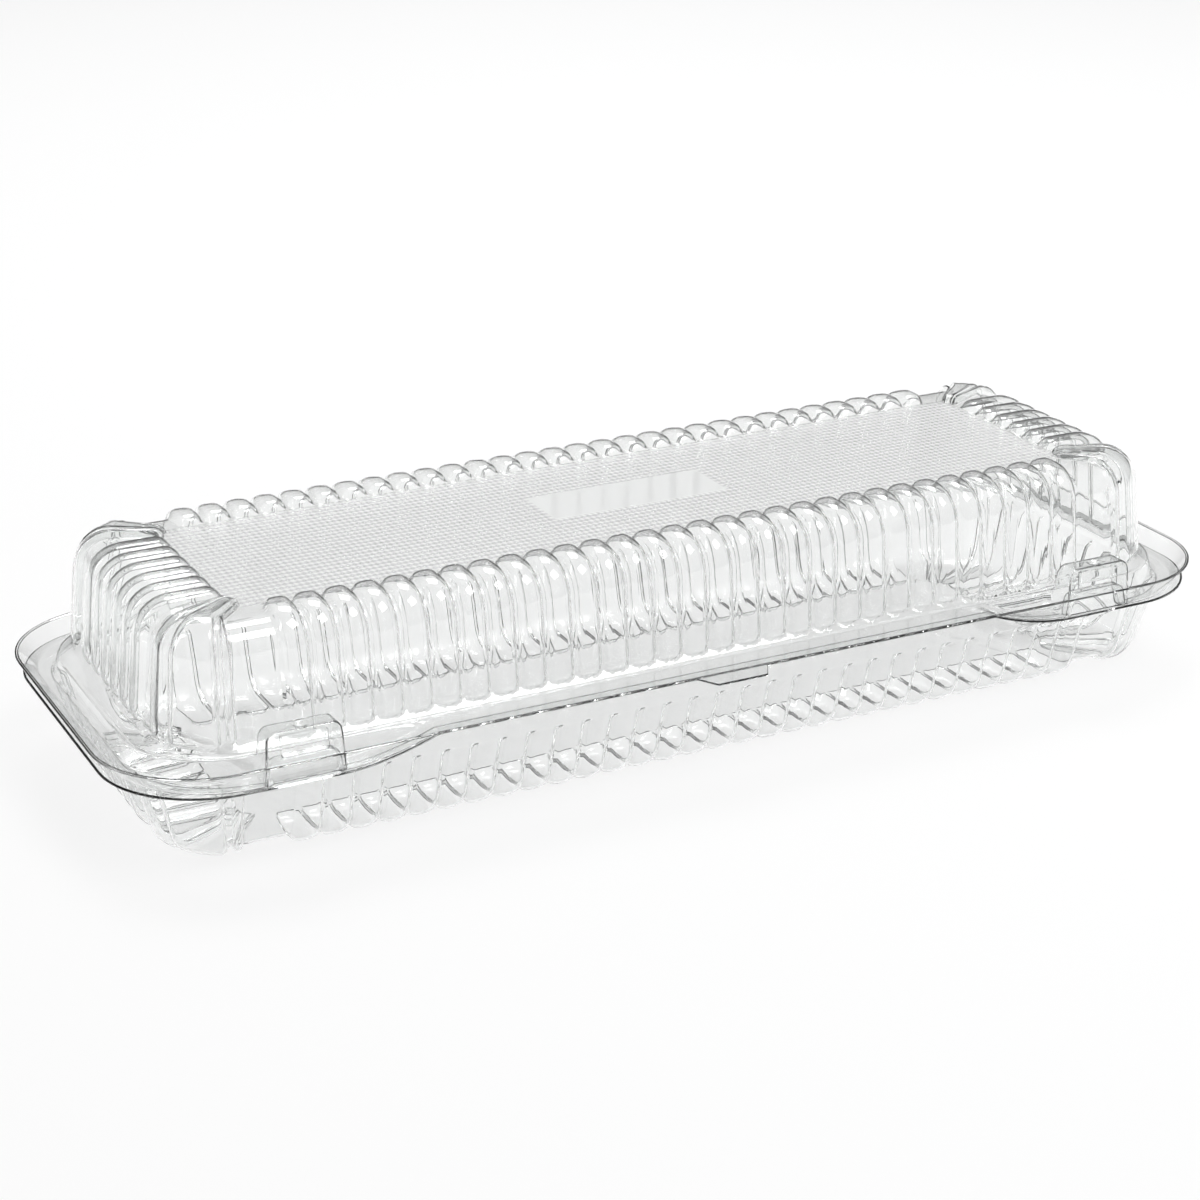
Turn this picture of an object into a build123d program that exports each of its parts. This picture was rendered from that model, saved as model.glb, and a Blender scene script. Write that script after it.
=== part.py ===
from build123d import *
from math import atan, atan2, ceil, cos, degrees, radians, sin, tan
import os

# Sheet and fit
sheet = 0.4             # wall of the formed sheet
seat_gap = 0.3          # between the lid's rim and the tray's rim
overcut = 1.0           # how far a cutting body passes through a face

# Rim
rim_length = 340.0
rim_width = 124.0
rim_radius = 30.0
rim_height = 30.0       # table to the top of the tray's rim
moat_depth = 5.5        # drop of both rims round the two ends
ramp_start = 86.0       # half length of the high, straight rim
ramp_end = 108.0        # where the rim has reached the bottom of the moat
lip_lean_x = 5.0        # how far the lid's lip leans out at the ends
lip_lean_y = 0.8        # and along the sides
lip_wall = 0.5
ledge_length = 319.0    # ledge at the foot of the dome
ledge_width = 105.0
ledge_radius = 25.0
collar_flare = 1.5      # spread of the collar below the ledge
tray_inset_x = 1.8      # tray's rim inside the lid's rim
tray_inset_y = 0.5
hinge_length = 160.0

# Ribs
side_ribs = 30
end_ribs = 6
rib_pitch = 8.2
rib_crown = 2.05        # half width of a rib's flat crown
rib_flank = 2.3         # run of a rib's sloping side
rib_end_drop = 7.0      # drop and run of the slope at a rib's inner end
rib_end_run = 6.2
rib_sink = 0.15         # how far a rib's edges lie under the wall

# Corners, where two smooth lobes and a thin rib fan out from one centre
corner_x = 133.5
corner_y = 29.5
end_lobe = (9.0, 26.0)
side_lobe = (28.5, 70.0)
thin_rib_angle = 78.0
thin_rib_crown = 0.45
thin_rib_drop = 0.9     # how much lower the thin rib stands
corner_flat = 15.0      # degrees turned by each short flat round a corner

# Lid, a dome with ribs
dome_height = 33.9      # rim to the crowns of the ribs
dome_reach = 22.0       # corner centre to the foot of the ribs
dome_draft = 6.0
dome_shoulder = 10.6
shoulder_flats = 2      # short flats round a shoulder
dome_rise = 2.6         # height of a rib above the wall
dome_side_run = 17.5    # foot of a rib to its inner end on the top
dome_end_run = 24.0
dome_lobe_run = 14.0

# Tray, the same form with its mouth up
tray_reach = 27.5
tray_draft = 16.0
tray_shoulder = 9.5
tray_rise = 2.3
tray_side_run = 23.0
tray_end_run = 29.0
tray_lobe_run = 19.5
band_depth = 7.0        # plain band between the rim and the ribs
band_flare = 0.5
band_step = 1.0         # drop over which the band steps in to the wall

# Latches and finger tab on the front rim
latch_x = 122.5
latch_y = 57.4
latch_length = 24.0
latch_depth = 7.2
latch_height = 8.5      # above the lid's rim
latch_draft = 4.0
latch_corner = 2.6
pocket_length = 12.5    # recess in the front of a latch
pocket_depth = 1.8
pocket_height = 4.8
pocket_floor = 1.4      # above the lid's rim
dimple_radius = 1.9
dimple_depth = 0.9
button_gap = 0.4        # between a latch and the tray's button inside it
button_depth = 2.8
button_height = 7.0
tab_length = 22.0
tab_reach = 6.0
tab_corner = 3.0

lid_seat = rim_height + seat_gap
lid_face = lid_seat + sheet
moat_floor = lid_seat - moat_depth
latch_top = lid_face + latch_height
centre_y = tab_reach / 2    # the rim's middle, with the tab's tip and the hinge as far from y = 0


# Side of a form at the crowns of its ribs: up the drafted wall and round a shoulder of short flats.
# The first number of a point is measured outward from the foot of the ribs, the second from the mouth.
def crown_line(height, draft, shoulder, start):
    turn = (90 - draft) / shoulder_flats
    hub = -(height - shoulder - start) * tan(radians(draft)) - shoulder / cos(radians(draft))
    radius = shoulder / cos(radians(turn / 2))
    line = [(-rib_sink, start - overcut), (0, start)]
    for flat in range(shoulder_flats):
        angle = radians(draft + turn * (flat + 0.5))
        line.append((hub + radius * cos(angle), height - shoulder + radius * sin(angle)))
    return line + [(hub, height)]


# A line moved inward, square to its runs, with its first point slid level and its last one upright.
def moved_in(line, distance):
    runs = [(Vector(*end) - Vector(*start)).normalized() for start, end in zip(line, line[1:])]
    sides = [Vector(-run.Y, run.X) for run in runs]
    joints = [(before + after) / (1 + before.dot(after)) for before, after in zip(sides, sides[1:])]
    shifts = [Vector(1 / sides[0].X, 0), *joints, Vector(0, 1 / sides[-1].Y)]
    return [Vector(*point) + shift * distance for point, shift in zip(line, shifts)]


# The same side between two ribs, where the wall stands further in, with the band's points before it.
def wall_line(crown, rise, band=()):
    wall = moved_in(crown[1:], rise)
    foot_height = crown[1][1] + (band_step if band else -overcut)
    climb = (foot_height - wall[0].Y) / (wall[1].Y - wall[0].Y)
    foot = wall[0] + (wall[1] - wall[0]) * climb
    return [*band, *[(point.X, point.Y) for point in (foot, *wall[1:])]]


def rib_outline(crown, run, inset):
    height = crown[-1][1]
    line = [*crown[:-1], (-run, height), (-run - rib_end_run, height - rib_end_drop)]
    core = crown[-1][0]
    outline = moved_in(line, inset)
    return [*outline, Vector(core, outline[-1].Y), Vector(core, outline[0].Y)]


# Half width lost by a rib when its skin is moved in by an inset.
def narrowing(rise, inset):
    return inset * tan(atan(rise / rib_flank) / 2)


# Solid with flat sides through outlines that have the same number of corners.
def flat_sided(outlines):
    strips = []
    for near, far in zip(outlines, outlines[1:]):
        for corner in range(len(near)):
            corners = (near[corner - 1], near[corner], far[corner], far[corner - 1])
            strips.append(Face(Wire.make_polygon(corners)))
    ends = [Face(Wire.make_polygon(outline)) for outline in (outlines[0], outlines[-1])]
    return Solid(Shell([*strips, *ends]))


# A rib with a flat crown and sloping sides, standing out along X from its foot at the origin.
def make_rib(crown, rise, run, inset, half_width=rib_crown, drop=0):
    half_crown = half_width - narrowing(rise, inset)
    half_foot = half_crown + rib_flank * (rise - drop) / rise
    low = rise + rib_sink
    outlines = []
    for y, sink in ((-half_foot, low), (-half_crown, drop), (half_crown, drop), (half_foot, low)):
        outlines.append([Vector(point.X, y, point.Y) for point in rib_outline(crown, run, inset + sink)])
    return flat_sided(outlines)


def heading(angle):
    return Vector(cos(radians(angle)), sin(radians(angle)))


# Short flats between two angles, as their number and the turn of each.
def flats_between(low, high):
    flats = ceil((high - low) / corner_flat)
    return flats, (high - low) / flats


# A lobe of short flats between two angles about a vertical axis at the origin.
def make_lobe(crown, reach, run, angles, inset):
    low, high = angles
    flats, turn = flats_between(low, high)
    apex = heading((low + high) / 2) * (inset / sin(radians((high - low) / 2)))
    outlines = []
    for side in range(flats + 1):
        start = apex if side in (0, flats) else Vector()
        way = heading(low + turn * side)
        square = heading(low + turn * (max(side, 1) - 0.5))
        outline = []
        for point in rib_outline(crown, run, inset):
            flat_point = start + way * ((reach + point.X - start.dot(square)) / way.dot(square))
            outline.append(Vector(flat_point.X, flat_point.Y, point.Y))
        outlines.append(outline)
    return flat_sided(outlines)


def centres(count):
    return [(index - (count - 1) / 2) * rib_pitch for index in range(count // 2, count)]


# Outline round the right back corner at a distance from the corner's centre, carried on past the other sides.
def quarter_outline(out):
    flats, turn = flats_between(0, 90)
    far = -out - rim_width
    bends = [heading(turn * (flat + 0.5)) * (out / cos(radians(turn / 2))) for flat in range(flats)]
    centre = Vector(corner_x, corner_y)
    return [(far, far), (corner_x + out, far), *[centre + bend for bend in bends], (far, corner_y + out)]


# A quarter of a fluted form on its mouth at z = 0. With an inset it is the space inside the sheet.
def make_quarter(crown, wall, rise, reach, runs, inset):
    side_run, end_run, lobe_run = runs
    side_places = [Location((x, corner_y + reach, 0), (0, 0, 90)) for x in centres(side_ribs)]
    end_places = [Location((corner_x + reach, y, 0)) for y in centres(end_ribs)]
    thin_place = Location((corner_x, corner_y, 0), (0, 0, thin_rib_angle)) * Location((reach, 0, 0))
    with BuildPart() as quarter:
        stages = moved_in(wall, inset)[:-1]
        for low, high in zip(stages, stages[1:]):
            with BuildSketch(Plane.XY.offset(low.Y)):
                with BuildLine():
                    Polyline(*quarter_outline(reach + low.X), close=True)
                make_face()
            rise_angle = degrees(atan2(low.X - high.X, high.Y - low.Y))
            extrude(amount=high.Y - low.Y, taper=rise_angle, clean=False)
        with Locations(*side_places):
            add(make_rib(crown, rise, side_run, inset), clean=False)
        with Locations(*end_places):
            add(make_rib(crown, rise, end_run, inset), clean=False)
        with Locations(thin_place):
            add(make_rib(crown, rise, lobe_run, inset, thin_rib_crown, thin_rib_drop), clean=False)
        with Locations((corner_x, corner_y, 0)):
            add(make_lobe(crown, reach, lobe_run, end_lobe, inset), clean=False)
            add(make_lobe(crown, reach, lobe_run, side_lobe, inset), clean=False)
        with Locations((0, 0, -overcut if inset else 0)):
            Box(rim_length / 2, rim_width / 2, 2 * crown[-1][1],
                align=(Align.MIN, Align.MIN, Align.MIN), mode=Mode.INTERSECT)
    return quarter.part


# Line of the rim seen from the front: high in the middle and low round the ends.
def rim_line(level):
    low = level - moat_depth
    return [(0, level), (ramp_start, level), (ramp_end, low), (rim_length / 2 + overcut, low)]


def level_line(level):
    return [(0, level), (rim_length / 2 + overcut, level)]


# Body over the back right quarter of the rim, between two such lines.
def rim_slab(below, above):
    with BuildPart() as slab:
        with BuildSketch(Plane.XZ):
            with BuildLine():
                Polyline(*below, *reversed(above), close=True)
            make_face()
        extrude(amount=-rim_width / 2 - overcut)
    return slab.part


# Block with the outline of the lid's lip or collar, which spread with their depth below the lid's face.
def rim_block(length, width, radius, spread_x, spread_y, inset, top):
    with BuildPart() as block:
        for z in (moat_floor - overcut, top):
            share = (lid_face - z) / (lid_face - moat_floor)
            with BuildSketch(Plane.XY.offset(z)):
                RectangleRounded(length + 2 * (spread_x * share - inset), width + 2 * (spread_y * share - inset),
                                 radius - inset + spread_y * share)
        loft(ruled=True)
    return block.part


def lip_block(inset, top):
    return rim_block(rim_length, rim_width, rim_radius, -lip_lean_x, -lip_lean_y, inset, top)


def collar_block(inset, top):
    return rim_block(ledge_length, ledge_width, ledge_radius, collar_flare, collar_flare, inset, top)


# Front elevation of a latch or button, drafted and rounded at its upper corners.
def make_peg(length, depth, base, top, draft, corner):
    with BuildPart() as peg:
        with BuildSketch(Plane.XZ.offset(-depth / 2)):
            with BuildLine():
                narrow = length / 2 - (top - base) * tan(radians(draft))
                Polyline((-length / 2, base), (length / 2, base), (narrow, top), (-narrow, top), close=True)
            face = make_face()
            chamfer(face.vertices().group_by(Axis.Y)[-1], corner)
        extrude(amount=depth)
    return peg.part


def latch_peg(inset, base):
    spread = 2 * (moat_floor - base) * tan(radians(latch_draft))
    return make_peg(latch_length - 2 * inset + spread, latch_depth - 2 * inset, base,
                    latch_top - inset, latch_draft, latch_corner - inset)


# Recess in the front of a latch and dimple on its top, or the skin round them.
def latch_recesses(inset):
    with BuildPart() as recesses:
        with Locations((0, -latch_depth / 2, lid_face + pocket_floor + pocket_height / 2)):
            Box(pocket_length + 2 * inset, 2 * (pocket_depth + inset), pocket_height + 2 * inset)
        with BuildSketch(Plane.XY.offset(latch_top - dimple_depth - inset)):
            RegularPolygon(dimple_radius / 2 + inset, 8)
        with BuildSketch(Plane.XY.offset(latch_top)):
            RegularPolygon(dimple_radius + inset, 8)
        loft()
    return recesses.part


# Whole shell from its back right and front right quarters.
def make_shell(back, front):
    with BuildPart() as right:
        add(back)
        add(front, clean=False)
    with BuildPart() as shell:
        add(right.part)
        add(right.part.mirror(Plane.YZ))
    return Pos(0, centre_y, 0) * shell.part


dome_crown = crown_line(dome_height, dome_draft, dome_shoulder, 0)
dome_wall = wall_line(dome_crown, dome_rise)
dome_runs = (dome_side_run, dome_end_run, dome_lobe_run)
tray_crown = crown_line(rim_height, tray_draft, tray_shoulder, band_depth)
band = ((band_flare * (1 + overcut / band_depth), -overcut), (0, band_depth))
tray_wall = wall_line(tray_crown, tray_rise, band)
tray_runs = (tray_side_run, tray_end_run, tray_lobe_run)

# Lid's rim, with a moat cut down into it
with BuildPart() as lid_moat:
    add(rim_slab(rim_line(lid_face), level_line(lid_face + overcut)))
    add(lip_block(lip_wall, lid_face + overcut), mode=Mode.INTERSECT)
    add(collar_block(0, lid_face + overcut), mode=Mode.SUBTRACT)

with BuildPart() as lid_rim:
    add(rim_slab(rim_line(lid_seat), level_line(lid_face)))
    add(lip_block(0, lid_face), mode=Mode.INTERSECT)
    add(collar_block(sheet, lid_seat), mode=Mode.SUBTRACT)
    add(lid_moat.part, mode=Mode.SUBTRACT)

with BuildPart() as lid_quarter:
    with Locations((0, 0, lid_face)):
        add(make_quarter(dome_crown, dome_wall, dome_rise, dome_reach, dome_runs, 0))
    add(lid_rim.part, clean=False)
    with Locations((0, 0, lid_face)):
        add(make_quarter(dome_crown, dome_wall, dome_rise, dome_reach, dome_runs, sheet),
            mode=Mode.SUBTRACT, clean=False)

# Hollow latch
with BuildPart() as latch_space:
    add(latch_peg(sheet, moat_floor - overcut))
    add(latch_recesses(sheet), mode=Mode.SUBTRACT)
    add(latch_recesses(0))

with BuildPart() as tab:
    with BuildSketch(Plane.XY.offset(lid_seat)) as tab_outline:
        with Locations((0, -rim_width / 2)):
            Rectangle(tab_length, 2 * tab_reach)
        chamfer(tab_outline.vertices(), tab_corner)
    extrude(amount=sheet)
    split(bisect_by=Plane.YZ)

with BuildPart() as lid_front:
    add(lid_quarter.part.mirror(Plane.XZ))
    with Locations((latch_x, -latch_y, 0)):
        add(latch_peg(0, moat_floor), clean=False)
        add(latch_space.part, mode=Mode.SUBTRACT, clean=False)
    add(tab.part, clean=False)

lid = make_shell(lid_quarter.part, lid_front.part)
lid.label = "lid"

# Tray's rim, a flat strip that follows the lid's
with BuildPart() as tray_rim:
    add(rim_slab(rim_line(rim_height - sheet), rim_line(rim_height)))
    with BuildSketch():
        RectangleRounded(rim_length - 2 * tray_inset_x, rim_width - 2 * tray_inset_y, rim_radius - tray_inset_y)
    extrude(amount=rim_height + overcut, mode=Mode.INTERSECT)

with BuildPart() as tray_quarter:
    with Locations((0, 0, rim_height)):
        add(make_quarter(tray_crown, tray_wall, tray_rise, tray_reach, tray_runs, 0).mirror(Plane.XY))
    add(rim_slab(rim_line(rim_height), level_line(rim_height + overcut)), mode=Mode.SUBTRACT, clean=False)
    add(tray_rim.part, clean=False)
    with Locations((0, 0, rim_height)):
        add(make_quarter(tray_crown, tray_wall, tray_rise, tray_reach, tray_runs, sheet).mirror(Plane.XY),
            mode=Mode.SUBTRACT, clean=False)

# Strip that carries the hinge
with BuildPart() as tray_back:
    add(tray_quarter.part)
    with Locations((0, rim_width / 2, rim_height)):
        Box(hinge_length / 2, 2 * tray_inset_y, sheet, align=(Align.MIN, Align.MAX, Align.MAX))

# Hollow button that the latch presses over
low_rim = rim_height - moat_depth
button_length = latch_length - 2 * (sheet + button_gap)
button_y = latch_y + latch_depth / 2 - sheet - button_gap - button_depth / 2
with BuildPart() as tray_front:
    add(tray_quarter.part.mirror(Plane.XZ))
    with Locations((latch_x, -button_y, 0)):
        add(make_peg(button_length, button_depth, low_rim - sheet, low_rim + button_height,
                     latch_draft, latch_corner), clean=False)
        add(make_peg(button_length - 2 * sheet, button_depth - 2 * sheet, low_rim - sheet - overcut,
                     low_rim + button_height - sheet, latch_draft, latch_corner - sheet),
            mode=Mode.SUBTRACT, clean=False)

base_tray = make_shell(tray_back.part, tray_front.part)
base_tray.label = "base_tray"

os.makedirs("parts", exist_ok=True)
export_step(lid, "parts/lid.step")
export_step(base_tray, "parts/base_tray.step")
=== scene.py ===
import bmesh
import bpy
from math import atan2, cos, hypot, pi, radians, sin, sqrt, tan
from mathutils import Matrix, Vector


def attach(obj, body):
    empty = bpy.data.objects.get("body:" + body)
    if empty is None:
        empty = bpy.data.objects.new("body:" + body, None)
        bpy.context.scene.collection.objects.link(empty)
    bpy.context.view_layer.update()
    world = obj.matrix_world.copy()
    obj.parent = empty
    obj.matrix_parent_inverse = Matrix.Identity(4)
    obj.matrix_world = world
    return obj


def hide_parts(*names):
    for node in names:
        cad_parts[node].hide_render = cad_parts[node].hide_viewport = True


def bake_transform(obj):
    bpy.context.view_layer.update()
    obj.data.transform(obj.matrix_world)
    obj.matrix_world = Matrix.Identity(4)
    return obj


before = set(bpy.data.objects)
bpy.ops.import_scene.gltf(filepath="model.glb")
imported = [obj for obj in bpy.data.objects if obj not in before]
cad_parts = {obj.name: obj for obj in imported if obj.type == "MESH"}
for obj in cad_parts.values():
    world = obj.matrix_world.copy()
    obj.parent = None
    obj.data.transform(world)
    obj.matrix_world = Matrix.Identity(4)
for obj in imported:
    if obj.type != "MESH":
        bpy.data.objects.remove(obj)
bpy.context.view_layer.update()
mm = 0.001

# The plastic sheet: thickness in mm, and the angle past which an edge looks sharp.
sheet = {"thickness": 0.4, "sharpAngle": 48.0}
# Plan of both halves, in mm and degrees: ribs stand out from a core rectangle and fan round its corners.
plan = {
    "coreX": 133.5, "coreY": 29.5, "shiftY": 3.0,
    "ribPitch": 8.2, "ribHalf": 3.75, "ribSquare": 3.2, "ribSteps": 8, "sideRibs": 30, "endRibs": 6,
    "lobes": [(9.0, 26.0), (28.5, 70.0)], "lobeRound": 5.0, "lobeStep": 5.0,
    "lobeParts": (0.0, 0.06, 0.22, 0.5, 1.0), "flatAngles": (0.0, 4.5, 27.2, 71.5, 85.0, 90.0),
    "thinRib": 78.0, "thinRibHalf": 4.2, "thinRibHeight": 0.7,
    "panelX": 129.4, "panelY": 31.7, "panelRadius": 9.0,
    "ribEndLength": 3.4, "ribEndParts": (0.0, 0.3, 0.55, 0.78, 0.92, 1.0),
}
# Both rims. Going inward, the lid's has a land, a lip, a moat, a collar and a ledge.
rim = {
    "x": 170.0, "y": 62.0, "radius": 30.0, "edgeRow": 0.6, "land": 0.9, "landRound": 0.4,
    "lipLeanX": 5.0, "lipLeanY": 0.8, "lipLeast": 0.6, "lipTighter": 1.0, "lipRound": 0.9,
    "lipParts": (0.2, 0.26, 0.78, 0.84), "moatParts": (0.24, 0.36, 0.5, 0.64, 0.76),
    "rampStart": 86.0, "rampEnd": 112.0, "rampCurve": 1.8, "moatDepth": 5.5,
    "collarX": 161.0, "collarY": 54.0, "collarRadius": 26.5, "collarRound": 1.0,
    "ledgeX": 159.5, "ledgeY": 52.5, "ledgeRadius": 25.0, "ledgeRound": 0.9,
    "tabHalf": 11.0, "tabReach": 6.0, "tabSlant": 3.5,
}
# The latches, and what the buttons under them share with them.
latch = {
    "x": 122.5, "half": 11.0, "draft": 0.7, "round": 2.6, "roundSteps": 4, "top": 8.5,
    "front": 60.5, "back": 54.3, "spread": 4.0, "clearance": 0.16,
    "pocketHalf": 6.25, "pocketEdge": 0.3, "pocketDepth": 1.7,
    "dimple": 1.9, "dimpleDepth": 0.9, "dimpleFall": 1.6, "dimpleParts": (0.0, 0.35, 0.7, 1.0),
}
# Rows of points up a wall, as shares of the way from the foot of its ribs to the shoulder.
wallParts = (0.02, 0.045, 0.06, 0.09, 0.13, 0.19, 0.25, 0.6)
dome = {
    "face": 30.7, "up": 1, "height": 33.9, "reach": 22.0, "draft": 6.0, "shoulder": 10.6, "shoulderSteps": 7,
    "rise": 2.6, "start": 0.0, "footStart": 1.0, "footRound": 3.4, "footFlare": 2.3,
}
tray = {
    "face": 30.0, "up": -1, "height": 30.0, "reach": 27.5, "draft": 16.0, "shoulder": 9.5, "shoulderSteps": 7,
    "rise": 2.3, "start": 7.0, "grooveRound": 2.4, "flare": 0.5, "mouthRound": 0.6,
    "insetX": 1.8, "insetY": 0.5, "landWidth": 1.2, "mouthGap": 1.0,
    "buttonHalf": 10.2, "buttonFront": 60.2, "buttonBack": 57.6, "buttonHeight": 7.0,
    "buttonDraft": 0.1, "buttonRound": 0.5, "buttonFootRound": 0.3,
}


def clamped(value):
    return min(max(value, 0.0), 1.0)


def quarterRound(value):
    return sqrt(1 - (1 - clamped(value)) ** 2)


# Height of the ribs, 0 in a valley and 1 on a crown.
def ribHeight(along, count):
    reach = (count - 1) / 2
    index = min(max(round(along / plan["ribPitch"] + reach), 0), count - 1)
    offset = abs(along - (index - reach) * plan["ribPitch"]) / plan["ribHalf"]
    return sqrt(max(0.0, 1 - offset ** plan["ribSquare"]))


# The same in the fan round a corner, by the angle from the end's direction in degrees.
def fanHeight(angle):
    for low, high in plan["lobes"]:
        if low <= angle <= high:
            return quarterRound(min(angle - low, high - angle) / plan["lobeRound"])
    offset = (angle - plan["thinRib"]) / plan["thinRibHalf"]
    return plan["thinRibHeight"] * sqrt(max(0.0, 1 - offset * offset))


def ribPlaces(count, swing):
    middles = [(index - (count - 1) / 2) * plan["ribPitch"] for index in range(count // 2, count)]
    return [middle + plan["ribHalf"] * part for middle in middles for part in swing]


def fanAngles(swing):
    angles = set(plan["flatAngles"])
    for low, high in plan["lobes"]:
        for part in plan["lobeParts"]:
            angles.update((low + part * plan["lobeRound"], high - part * plan["lobeRound"]))
        span = high - low - 2 * plan["lobeRound"]
        count = max(3, round(span / plan["lobeStep"]))
        angles.update(low + plan["lobeRound"] + span * index / count for index in range(1, count))
    angles.update(plan["thinRib"] + plan["thinRibHalf"] * part for part in swing)
    return sorted(angles)


# Places along the front where a latch's sides, pocket and dimple begin and end.
def latchPlaces():
    top = latch["half"] - latch["draft"]
    edges = [latch["half"], latch["half"] - latch["draft"] / 2, top]
    for step in range(1, latch["roundSteps"] + 1):
        edges.append(top - latch["round"] * (1 - cos(pi / 2 * step / latch["roundSteps"])))
    edges += [latch["pocketHalf"], latch["pocketHalf"] - latch["pocketEdge"]]
    edges += [latch["dimple"] * part for part in latch["dimpleParts"]]
    return {round(latch["x"] + side * edge, 3) for edge in edges for side in (-1, 1)}


# Places round one quarter of the plan, from the middle of an end to the middle of a side.
def quarterStations():
    steps = plan["ribSteps"]
    swing = [sin(pi * (step / steps - 0.5)) for step in range(steps + 1)]
    ends = ribPlaces(plan["endRibs"], swing)
    gap = plan["coreY"] - ends[-1]
    ends += [ends[-1] + gap / 3, ends[-1] + 2 * gap / 3]
    stations = [(plan["coreX"], along, 0.0, ribHeight(along, plan["endRibs"])) for along in ends]
    stations += [(plan["coreX"], plan["coreY"], angle, fanHeight(angle)) for angle in fanAngles(swing)]
    extra = latchPlaces()
    sides = [place for place in ribPlaces(plan["sideRibs"], swing)
             if min(abs(place - other) for other in extra) > latch["clearance"]]
    sides += [place for place in extra if place < plan["coreX"]]
    for along in sorted(sides, reverse=True):
        stations.append((along, plan["coreY"], 90.0, ribHeight(along, plan["sideRibs"])))
    return stations


# The whole way round, with each place's direction outward.
def allStations():
    quarter = quarterStations()
    around = []
    for sideX, sideY, turned in ((1, 1, False), (-1, 1, True), (-1, -1, False), (1, -1, True)):
        for x, y, angle, height in (reversed(quarter) if turned else quarter):
            way = Vector((cos(radians(angle)) * sideX, sin(radians(angle)) * sideY))
            around.append({"at": Vector((x * sideX, y * sideY)), "way": way, "height": height})
    return around


# Distance from a place, along its direction, to a rounded rectangle about the plan's middle.
def outlineReach(place, halfX, halfY, radius):
    at = Vector((abs(place["at"].x), abs(place["at"].y)))
    way = Vector((abs(place["way"].x), abs(place["way"].y)))
    if way.x > 1e-6:
        reach = (halfX - at.x) / way.x
        if at.y + way.y * reach <= halfY - radius:
            return reach
    if way.y > 1e-6:
        reach = (halfY - at.y) / way.y
        if at.x + way.x * reach <= halfX - radius:
            return reach
    toCentre = Vector((halfX - radius, halfY - radius)) - at
    across = way.dot(toCentre)
    return across + sqrt(max(0.0, radius * radius - toCentre.length_squared + across * across))


# A line of (out, height) points with its corners rounded; a rounded corner always gives as many points.
def roundedLine(knots, radii, steps=3, most=0.45):
    line = [knots[0]]
    for index in range(1, len(knots) - 1):
        before, knot, after = (Vector(knots[index + part]) for part in (-1, 0, 1))
        if radii[index] == 0:
            line.append(tuple(knot))
            continue
        back, ahead = before - knot, after - knot
        start = knot + back * min(most, radii[index] / max(back.length, 1e-6))
        stop = knot + ahead * min(most, radii[index] / max(ahead.length, 1e-6))
        for step in range(steps + 1):
            part = step / steps
            line.append(tuple(start.lerp(knot, part).lerp(knot.lerp(stop, part), part)))
    return line + [knots[-1]]


# How deep the moat is here, 1 round the ends and 0 along the middle of the front and back.
def moatShare(place):
    across = abs(place["at"].x)
    left = 1 - clamped((across - rim["rampStart"]) / (rim["rampEnd"] - rim["rampStart"]))
    return 1 - left ** rim["rampCurve"]


def onFront(place):
    return place["way"].y < -0.999


# How far a latch or button stands over the moat's floor here: 0 off it, 1 on its flat top.
def pegShare(place, half, height):
    off = abs(abs(place["at"].x) - latch["x"])
    if not onFront(place) or off >= half:
        return 0.0
    shoulder = half - latch["draft"]
    if off >= shoulder:
        return (half - off) / latch["draft"] * (height - latch["round"]) / height
    bend = clamped((off - shoulder + latch["round"]) / latch["round"])
    return 1 - latch["round"] / height * (1 - sqrt(max(0.0, 1 - bend * bend)))


def tabReach(place):
    if not onFront(place):
        return 0.0
    return rim["tabReach"] * clamped((rim["tabHalf"] - abs(place["at"].x)) / rim["tabSlant"])


# The lid's rim from its cut edge to the foot of the dome, as (out, height over the rim).
def lidRim(place):
    share = moatShare(place)
    floor = -rim["moatDepth"] * share
    edge = outlineReach(place, rim["x"], rim["y"], rim["radius"])
    land = edge - rim["land"]
    leanX, leanY = rim["lipLeanX"] * share, rim["lipLeanY"] * share
    lipX, lipY = rim["x"] - rim["land"] - leanX, rim["y"] - rim["land"] - leanY
    lip = outlineReach(place, lipX, lipY, rim["radius"] - leanY - rim["lipTighter"])
    lip = min(lip, land - rim["lipLeast"])
    collar = outlineReach(place, rim["collarX"], rim["collarY"], rim["collarRadius"])
    ledge = outlineReach(place, rim["ledgeX"], rim["ledgeY"], rim["ledgeRadius"])
    foot = dome["reach"] - (dome["rise"] - dome["footFlare"]) / cos(radians(dome["draft"]))
    peg = pegShare(place, latch["half"], latch["top"] - floor)
    if peg > 0:
        spread = clamped(peg * latch["spread"])
        lip += (latch["front"] - plan["coreY"] - lip) * spread
        collar += (latch["back"] - plan["coreY"] - collar) * spread
        floor += (latch["top"] - floor) * peg
    off = abs(abs(place["at"].x) - latch["x"])
    front = [(land + (lip - land) * part, floor * part) for part in rim["lipParts"]]
    if peg > 0 and off < latch["pocketHalf"] - latch["pocketEdge"] / 2:
        front[1:3] = [(out - latch["pocketDepth"], height) for out, height in front[1:3]]
    middle = (latch["front"] + latch["back"]) / 2 - plan["coreY"]
    top = []
    for part in rim["moatParts"]:
        out = lip + (collar - lip) * part
        near = hypot(off, out - middle) / latch["dimple"]
        dip = clamped(latch["dimpleFall"] * (1 - near)) if peg > 0 else 0
        top.append((out, floor - latch["dimpleDepth"] * dip))
    tip = edge + tabReach(place)
    knots = [(tip, 0), (tip - rim["edgeRow"], 0), (land, 0), *front, (lip, floor), *top, (collar, floor),
             (ledge, 0), (foot, 0)]
    radii = [0, 0, rim["landRound"], *[0] * len(front), rim["lipRound"], *[0] * len(top), rim["collarRound"],
             rim["ledgeRound"], 0]
    return roundedLine(knots, radii)


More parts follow.
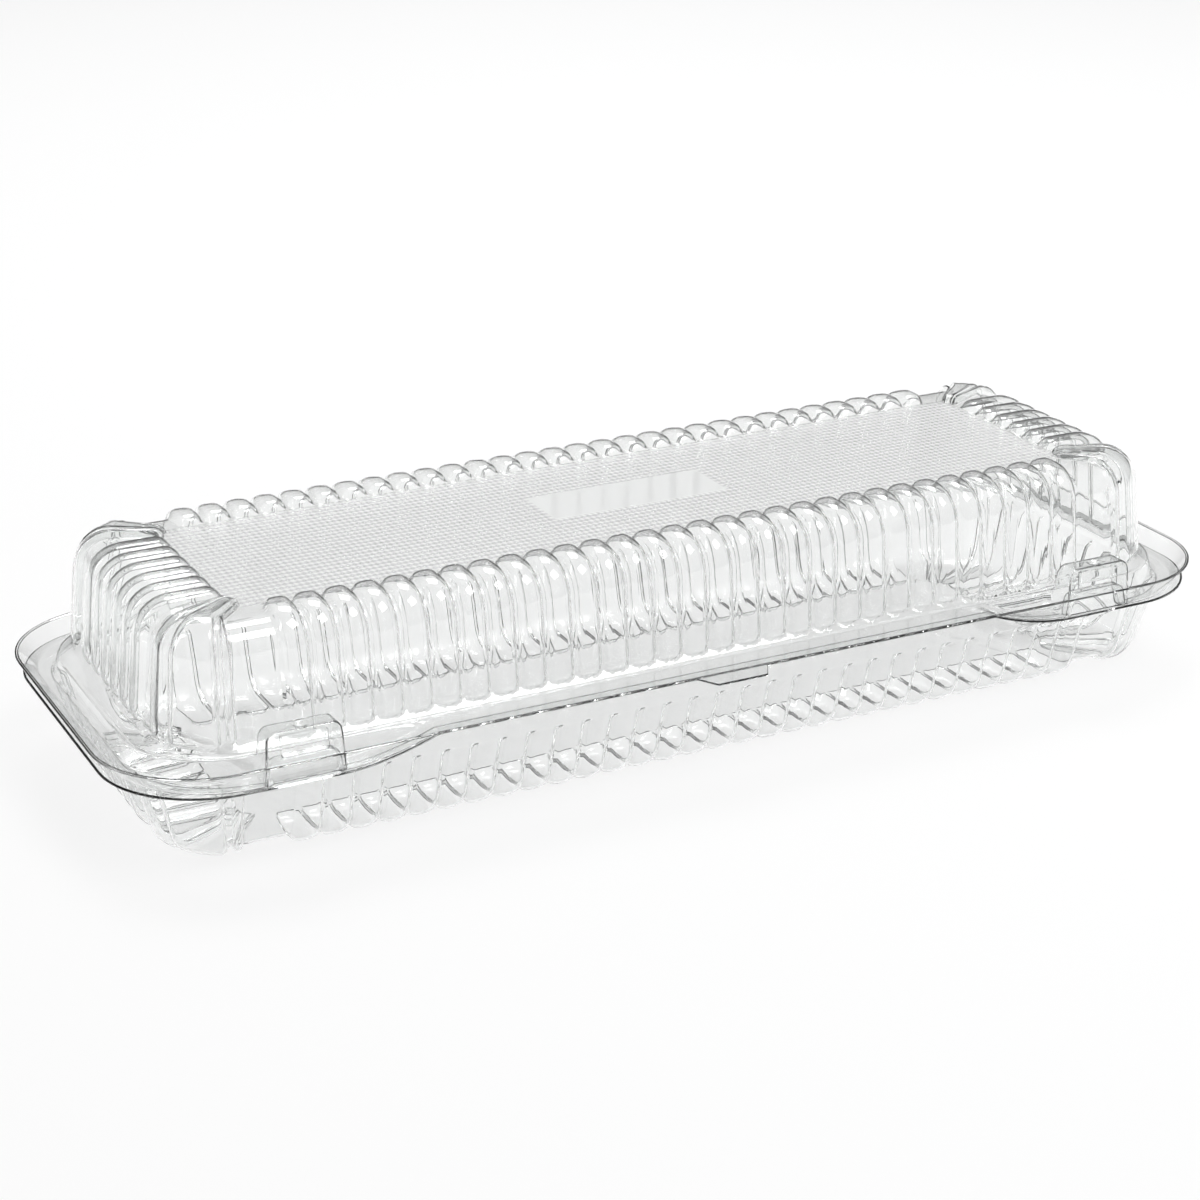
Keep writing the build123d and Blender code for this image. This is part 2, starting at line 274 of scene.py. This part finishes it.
# The tray's rim from its cut edge to the foot of its band, as (out, depth under the rim).
def trayRim(place):
    drop = rim["moatDepth"] * moatShare(place)
    insetX, insetY = tray["insetX"], tray["insetY"]
    edge = outlineReach(place, rim["x"] - insetX, rim["y"] - insetY, rim["radius"] - insetY)
    mouth = tray["reach"] + tray["flare"] * (1 - drop / tray["start"])
    peg = pegShare(place, tray["buttonHalf"], tray["buttonHeight"])
    top = drop - tray["buttonHeight"] * peg
    spread = clamped(peg * latch["spread"])
    outer = edge - tray["landWidth"]
    outer += (tray["buttonFront"] - plan["coreY"] - outer) * spread
    inner = mouth + tray["mouthGap"]
    inner += (tray["buttonBack"] - plan["coreY"] - inner) * spread
    draft = tray["buttonDraft"]
    knots = [(edge, drop), (outer + draft, drop), (outer, top), (inner, top), (inner - draft, drop),
             (mouth, drop), (tray["reach"], tray["start"])]
    radii = [0, tray["buttonFootRound"], tray["buttonRound"], tray["buttonRound"], tray["buttonFootRound"],
             tray["mouthRound"], 0]
    return roundedLine(knots, radii)


# Wall and shoulder from the foot of the ribs to where the shoulder is level.
def wallLine(form, height):
    draft = radians(form["draft"])
    hubHeight = form["height"] - form["shoulder"]
    hub = form["reach"] - (hubHeight - form["start"]) * tan(draft) - form["shoulder"] / cos(draft)
    sunk = form["rise"] * (1 - height)
    bendStart = hubHeight + form["shoulder"] * sin(draft)
    line = []
    for part in wallParts:
        level = (bendStart - form["start"]) * part
        if "grooveRound" in form:
            rise = clamped(level / form["grooveRound"])
            low = sunk * rise * rise * (3 - 2 * rise)
        else:
            short = 1 - clamped((level - form["footStart"]) / form["footRound"])
            low = form["rise"] * (1 - sqrt(max(0.0, height * height - short * short)))
            low = min(low, form["rise"] - form["footFlare"] + level)
        line.append((form["reach"] - level * tan(draft) - low / cos(draft), form["start"] + level))
    radius = form["shoulder"] - sunk
    for step in range(form["shoulderSteps"] + 1):
        angle = draft + (pi / 2 - draft) * step / form["shoulderSteps"]
        line.append((hub + radius * cos(angle), hubHeight + radius * sin(angle)))
    return line


# Where the flat panel's outline lies inward of a point, in plan.
def panelPoint(point):
    straightX = plan["panelX"] - plan["panelRadius"]
    straightY = plan["panelY"] - plan["panelRadius"]
    x, y = abs(point.x), abs(point.y)
    if x > straightX and y > straightY:
        turn = atan2(y - straightY, x - straightX)
        x, y = straightX + plan["panelRadius"] * cos(turn), straightY + plan["panelRadius"] * sin(turn)
    elif x > straightX:
        x = plan["panelX"]
    else:
        y = plan["panelY"]
    return Vector((x if point.x > 0 else -x, y if point.y > 0 else -y))


# All the points at one place, from the cut edge to the panel's outline.
def ringPoints(form, place, rimLine):
    points = []
    for out, height in [*rimLine, *wallLine(form, place["height"])]:
        flat = place["at"] + place["way"] * out
        points.append((flat.x, flat.y, height))
    start = Vector(points[-1][:2])
    stop = panelPoint(start)
    begin = max(0.1, 1 - plan["ribEndLength"] / (stop - start).length)
    for part in plan["ribEndParts"]:
        flat = start.lerp(stop, begin + (1 - begin) * part)
        stands = sqrt(max(0.0, place["height"] ** 2 - part * part))
        points.append((flat.x, flat.y, form["height"] - form["rise"] * (1 - stands)))
    points = [(x, y + plan["shiftY"], form["face"] + form["up"] * height) for x, y, height in points]
    return [Vector(point) * mm for point in points]


def linked(name, build):
    mesh = bpy.data.meshes.new(name)
    build.to_mesh(mesh)
    build.free()
    piece = bpy.data.objects.new(name, mesh)
    bpy.context.collection.objects.link(piece)
    return piece


# Draws a ring inward from the cut edge, one extrusion for each row of points, and closes it with the panel.
def sheetFrom(name, columns, upward):
    build = bmesh.new()
    ring = bmesh.ops.create_circle(build, segments=len(columns), radius=1)["verts"]
    for vert, column in zip(ring, columns):
        vert.co = column[0]
    for row in range(1, len(columns[0])):
        edges = [build.edges.get((ring[index - 1], ring[index])) for index in range(len(ring))]
        drawn = set(bmesh.ops.extrude_edge_only(build, edges=edges)["geom"])
        ring = [next(edge.other_vert(vert) for edge in vert.link_edges if edge.other_vert(vert) in drawn)
                for vert in ring]
        for vert, column in zip(ring, columns):
            vert.co = column[row]
    edges = [build.edges.get((ring[index - 1], ring[index])) for index in range(len(ring))]
    panel = bmesh.ops.contextual_create(build, geom=edges)["faces"]
    bmesh.ops.recalc_face_normals(build, faces=build.faces)
    if (panel[0].normal.z > 0) != upward:
        bmesh.ops.reverse_faces(build, faces=build.faces)
    for face in build.faces:
        face.smooth = face not in panel
    piece = linked(name, build)
    piece.data.set_sharp_from_angle(angle=radians(sheet["sharpAngle"]))
    return piece


def thickened(piece, thickness, inward=-1):
    solid = piece.modifiers.new("thickness", "SOLIDIFY")
    solid.thickness = thickness * mm
    solid.offset = inward
    return piece


stations = allStations()
lidPiece = sheetFrom("lid_sheet", [ringPoints(dome, place, lidRim(place)) for place in stations], True)
trayPiece = sheetFrom("tray_sheet", [ringPoints(tray, place, trayRim(place)) for place in stations], False)
print("stage: sheets", len(lidPiece.data.polygons), len(trayPiece.data.polygons))

# The fold along the back, a narrow half-round strip between the two rims.
fold = {
    "halfLength": 80.0, "y": 61.75, "radius": 0.33, "middle": 30.15, "thickness": 0.25,
    "steps": 6, "cuts": 19,
}


def foldStrip():
    build = bmesh.new()
    turns = [pi * (step / fold["steps"] - 0.5) for step in range(fold["steps"] + 1)]
    verts = []
    for turn in turns:
        y = fold["y"] + fold["radius"] * cos(turn) + plan["shiftY"]
        point = Vector((-fold["halfLength"], y, fold["middle"] + fold["radius"] * sin(turn))) * mm
        verts.append(bmesh.ops.create_vert(build, co=point)["vert"][0])
    edges = [bmesh.ops.contextual_create(build, geom=pair)["edges"][0] for pair in zip(verts, verts[1:])]
    drawn = bmesh.ops.extrude_edge_only(build, edges=edges)["geom"]
    moved = [item for item in drawn if isinstance(item, bmesh.types.BMVert)]
    bmesh.ops.translate(build, verts=moved, vec=(2 * fold["halfLength"] * mm, 0, 0))
    lengthways = [edge for edge in build.edges if edge.calc_length() > fold["halfLength"] * mm]
    bmesh.ops.subdivide_edges(build, edges=lengthways, cuts=fold["cuts"])
    bmesh.ops.recalc_face_normals(build, faces=build.faces)
    for face in build.faces:
        face.smooth = True
    return linked("hinge_fold", build)


foldPiece = thickened(foldStrip(), fold["thickness"], 0)
thickened(lidPiece, sheet["thickness"])
thickened(trayPiece, sheet["thickness"])
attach(lidPiece, "cover")
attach(trayPiece, "tray")
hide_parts("lid")
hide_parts("base_tray")
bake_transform(foldPiece)
print("stage: pieces ride")

# Clear sheet with a fine cross-hatched texture on the top panel and a smooth plate in its middle.
clear = {
    "colour": (0.968, 0.973, 0.971), "roughness": 0.0, "ior": 1.5, "shadow": 0.982,
    "wave": 0.05, "waveDepth": 0.4, "waveScale": 55.0,
    # The dark colour below is painted shade: a dark line on the lid's front cut edge that stands in for its
    # dark refraction.
    "paintedEdgeShade": (0.16, 0.165, 0.16), "edgeHalf": 0.08, "edgeFall": 0.02,
    "edgeReach": 158.0, "edgeFade": 20.0,
    "panelMargin": 0.3, "panelDepth": 0.2, "panelFall": 0.02, "panelHaze": 0.42, "cellX": 1.8, "cellY": 2.4,
    "textureRoughness": 0.1, "textureBump": 0.6, "textureDepth": 0.25, "weaveHaze": 0.12,
    "plateX": 27.75, "plateY": 10.0, "plateEdge": 0.5, "plateHaze": 0.5,
}


def newMaterial(name):
    material = bpy.data.materials.new(name)
    material.use_nodes = True
    tree = material.node_tree
    tree.nodes.clear()
    out = tree.nodes.new("ShaderNodeOutputMaterial")
    shader = tree.nodes.new("ShaderNodeBsdfPrincipled")
    tree.links.new(shader.outputs[0], out.inputs[0])
    return material, tree, shader


def mathNode(tree, operation, first, second=0.0, clamp=False):
    node = tree.nodes.new("ShaderNodeMath")
    node.operation = operation
    node.use_clamp = clamp
    for socket, value in zip(node.inputs, (first, second)):
        if isinstance(value, (int, float)):
            socket.default_value = value
        else:
            tree.links.new(value, socket)
    return node.outputs[0]


# Shows the second shader in place of the first one, by a share.
def mixShaders(tree, share, first, second):
    mix = tree.nodes.new("ShaderNodeMixShader")
    for socket, value in zip(mix.inputs, (share, first.outputs[0], second.outputs[0])):
        tree.links.new(value, socket)
    tree.links.new(mix.outputs[0], tree.nodes["Material Output"].inputs[0])


def colourMix(tree, share):
    mix = tree.nodes.new("ShaderNodeMix")
    mix.data_type = "RGBA"
    tree.links.new(share, mix.inputs["Factor"])
    return mix


# 1 inside a range about a middle, falling to 0 over a short distance at its ends.
def inside(tree, value, middle, half, fall):
    off = mathNode(tree, "ABSOLUTE", mathNode(tree, "SUBTRACT", value, middle * mm))
    left = mathNode(tree, "SUBTRACT", half * mm, off)
    return mathNode(tree, "DIVIDE", left, fall * mm, clamp=True)


# 1 inside a rectangle about the panel's middle and 0 outside it.
def rectangle(tree, x, y, halfX, halfY, fall):
    acrossX = inside(tree, x, 0, halfX, fall)
    return mathNode(tree, "MINIMUM", acrossX, inside(tree, y, plan["shiftY"], halfY, fall))


# 1 on the cut edge along the front of the lid, where a dark line of painted shade goes on the sheet.
def frontEdgeShadeMask(tree, x, y):
    straight = plan["shiftY"] - rim["y"] + rim["radius"]
    over = mathNode(tree, "SUBTRACT", mathNode(tree, "ABSOLUTE", x), (rim["x"] - rim["radius"]) * mm)
    over = mathNode(tree, "MAXIMUM", over, 0)
    down = mathNode(tree, "MAXIMUM", mathNode(tree, "SUBTRACT", straight * mm, y), 0)
    overSquare, downSquare = (mathNode(tree, "MULTIPLY", value, value) for value in (over, down))
    out = mathNode(tree, "SQRT", mathNode(tree, "ADD", overSquare, downSquare))
    edge = inside(tree, out, rim["radius"], clear["edgeHalf"], clear["edgeFall"])
    return mathNode(tree, "MULTIPLY", edge, inside(tree, x, 0, clear["edgeReach"], clear["edgeFade"]))


# A cross-hatch of small cells: the product of two slanting waves.
def crossHatch(tree, x, y):
    across = mathNode(tree, "MULTIPLY", x, pi / (clear["cellX"] * mm))
    along = mathNode(tree, "MULTIPLY", y, pi / (clear["cellY"] * mm))
    rising = mathNode(tree, "SINE", mathNode(tree, "ADD", across, along))
    falling = mathNode(tree, "SINE", mathNode(tree, "SUBTRACT", across, along))
    return mathNode(tree, "MULTIPLY", rising, falling)


def bump(tree, height, distance, strength):
    node = tree.nodes.new("ShaderNodeBump")
    node.inputs["Distance"].default_value = distance * mm
    node.inputs["Strength"].default_value = strength
    tree.links.new(height, node.inputs["Height"])
    return node


def clearSheet():
    material, tree, shader = newMaterial("clearSheet")
    shader.inputs["IOR"].default_value = clear["ior"]
    place = tree.nodes.new("ShaderNodeTexCoord").outputs["Object"]
    split = tree.nodes.new("ShaderNodeSeparateXYZ")
    tree.links.new(place, split.inputs[0])
    x, y, z = split.outputs
    # The base colour darkens to painted shade along the lid's front cut edge.
    tintWithEdgeShade = colourMix(tree, frontEdgeShadeMask(tree, x, y))
    tintWithEdgeShade.inputs["A"].default_value = (*clear["colour"], 1)
    tintWithEdgeShade.inputs["B"].default_value = (*clear["paintedEdgeShade"], 1)
    tree.links.new(tintWithEdgeShade.outputs["Result"], shader.inputs["Base Color"])

    margin = clear["panelMargin"]
    panelLevel = dome["face"] + dome["height"] - dome["rise"]
    level = inside(tree, z, panelLevel, clear["panelDepth"], clear["panelFall"])
    top = rectangle(tree, x, y, plan["panelX"] - margin, plan["panelY"] - margin, margin)
    top = mathNode(tree, "MULTIPLY", top, level)
    plate = rectangle(tree, x, y, clear["plateX"], clear["plateY"], clear["plateEdge"])
    plate = mathNode(tree, "MULTIPLY", plate, top)
    panel = mathNode(tree, "SUBTRACT", top, plate)
    weave = mathNode(tree, "MULTIPLY", crossHatch(tree, x, y), panel)
    haze = mathNode(tree, "MULTIPLY", panel, clear["panelHaze"])
    haze = mathNode(tree, "ADD", haze, mathNode(tree, "MULTIPLY", plate, clear["plateHaze"]))
    haze = mathNode(tree, "ADD", haze, mathNode(tree, "MULTIPLY", weave, clear["weaveHaze"]))
    tree.links.new(mathNode(tree, "SUBTRACT", 1, haze), shader.inputs["Transmission Weight"])
    roughness = mathNode(tree, "MULTIPLY", top, clear["textureRoughness"])
    tree.links.new(mathNode(tree, "ADD", roughness, clear["roughness"]), shader.inputs["Roughness"])

    noise = tree.nodes.new("ShaderNodeTexNoise")
    noise.inputs["Scale"].default_value = clear["waveScale"]
    noise.inputs["Detail"].default_value = 1
    tree.links.new(place, noise.inputs["Vector"])
    soft = bump(tree, noise.outputs[0], clear["waveDepth"], clear["wave"])
    fine = bump(tree, mathNode(tree, "ADD", weave, plate), clear["textureDepth"], clear["textureBump"])
    tree.links.new(soft.outputs[0], fine.inputs["Normal"])
    tree.links.new(fine.outputs[0], shader.inputs["Normal"])

    # The sheet's shadow is nearly as bright as the light that falls on it.
    through = tree.nodes.new("ShaderNodeBsdfTransparent")
    through.inputs["Color"].default_value = (clear["shadow"],) * 3 + (1,)
    path = tree.nodes.new("ShaderNodeLightPath").outputs
    passing = mathNode(tree, "MAXIMUM", path["Is Shadow Ray"], path["Is Diffuse Ray"])
    mixShaders(tree, passing, shader, through)
    return material


plastic = clearSheet()
for piece in (lidPiece, trayPiece, foldPiece):
    piece.data.materials.append(plastic)

# Stage: floor, sky and lamps, in metres
stage = {
    "floorSize": 80.0, "floorDrop": 0.0002, "floorColour": 0.95, "floorRoughness": 0.9,
    "farStart": 1.6, "farEnd": 2.6,
    "skyLow": 0.03, "skyLowEnd": 0.02, "sky": 0.3, "skyTurn": 0.45,
    "lampRadiance": 8.2, "lampAim": (0, 0, 0.03),
    "lamps": [("softboxFront", (0.8, -1.1, 2.4), (1.15, 1.05)), ("softboxBack", (0.5, 1.3, 2.4), (1.3, 1.0)),
              ("stripLeft", (-2.4, 0.2, 1.6), (0.25, 1.8))],
}


def grey(value):
    return (value, value, value, 1)


def buildFloor():
    build = bmesh.new()
    bmesh.ops.create_grid(build, x_segments=1, y_segments=1, size=stage["floorSize"] / 2)
    floor = linked("floor", build)
    material, tree, shader = newMaterial("floorPaper")
    shader.inputs["Base Color"].default_value = grey(stage["floorColour"])
    shader.inputs["Roughness"].default_value = stage["floorRoughness"]
    shader.inputs["Specular IOR Level"].default_value = 0
    # Far from the container the floor is plain white to the eye.
    away = tree.nodes.new("ShaderNodeVectorMath")
    away.operation = "LENGTH"
    tree.links.new(tree.nodes.new("ShaderNodeTexCoord").outputs["Object"], away.inputs[0])
    far = mathNode(tree, "SUBTRACT", away.outputs["Value"], stage["farStart"])
    far = mathNode(tree, "DIVIDE", far, stage["farEnd"] - stage["farStart"], clamp=True)
    path = tree.nodes.new("ShaderNodeLightPath").outputs
    seen = mathNode(tree, "MAXIMUM", path["Is Camera Ray"], path["Is Transmission Ray"])
    seen = mathNode(tree, "MAXIMUM", seen, path["Is Glossy Ray"])
    mixShaders(tree, mathNode(tree, "MULTIPLY", far, seen), shader, tree.nodes.new("ShaderNodeEmission"))
    floor.data.materials.append(material)
    floor.location.z = -stage["floorDrop"]


# A dim sky that is darker near the horizon, and white where the camera sees it.
def buildSky():
    world = bpy.data.worlds.new("sky")
    bpy.context.scene.world = world
    world.use_nodes = True
    tree = world.node_tree
    split = tree.nodes.new("ShaderNodeSeparateXYZ")
    tree.links.new(tree.nodes.new("ShaderNodeTexCoord").outputs["Generated"], split.inputs[0])
    ramp = tree.nodes.new("ShaderNodeValToRGB")
    low, high = ramp.color_ramp.elements
    low.position, low.color = stage["skyLowEnd"], grey(stage["skyLow"])
    high.position, high.color = stage["skyTurn"], grey(stage["sky"])
    tree.links.new(split.outputs[2], ramp.inputs[0])
    mix = colourMix(tree, tree.nodes.new("ShaderNodeLightPath").outputs["Is Camera Ray"])
    mix.inputs["B"].default_value = grey(1)
    tree.links.new(ramp.outputs[0], mix.inputs["A"])
    tree.links.new(mix.outputs["Result"], tree.nodes["Background"].inputs[0])


# A soft lamp of even brightness, aimed at the container.
def addLamp(name, place, size):
    lamp = bpy.data.lights.new(name, "AREA")
    lamp.shape = "RECTANGLE"
    lamp.size, lamp.size_y = size
    lamp.energy = stage["lampRadiance"] * pi * size[0] * size[1]
    holder = bpy.data.objects.new(name, lamp)
    bpy.context.collection.objects.link(holder)
    holder.location = place
    holder.rotation_euler = (Vector(stage["lampAim"]) - Vector(place)).to_track_quat("-Z", "Y").to_euler()


buildFloor()
buildSky()
for lampValues in stage["lamps"]:
    addLamp(*lampValues)

# Camera, placed in mm from the plan's middle and turned in degrees
camera = {
    "place": (-331.2, -634.9, 318.3), "yaw": -27.23, "pitch": 21.98,
    "lens": 80.0, "sensor": 36.0, "shiftX": -0.011, "farthest": 30.0,
}
lens = bpy.data.cameras.new("camera")
lens.lens = camera["lens"]
lens.sensor_width = camera["sensor"]
lens.shift_x = camera["shiftX"]
lens.clip_end = camera["farthest"]
viewer = bpy.data.objects.new("camera", lens)
bpy.context.collection.objects.link(viewer)
viewer.location = (Vector(camera["place"]) + Vector((0, plan["shiftY"], 0))) * mm
viewer.rotation_euler = (radians(90 - camera["pitch"]), 0, radians(camera["yaw"]))
scene = bpy.context.scene
scene.camera = viewer
scene.view_settings.view_transform = "Standard"
# Light has to pass many layers of clear sheet.
scene.cycles.max_bounces = 18
scene.cycles.transmission_bounces = 18
scene.cycles.glossy_bounces = 8
scene.cycles.transparent_max_bounces = 64
scene.cycles.caustics_reflective = False
scene.cycles.caustics_refractive = False
print("stage: lamps and camera")
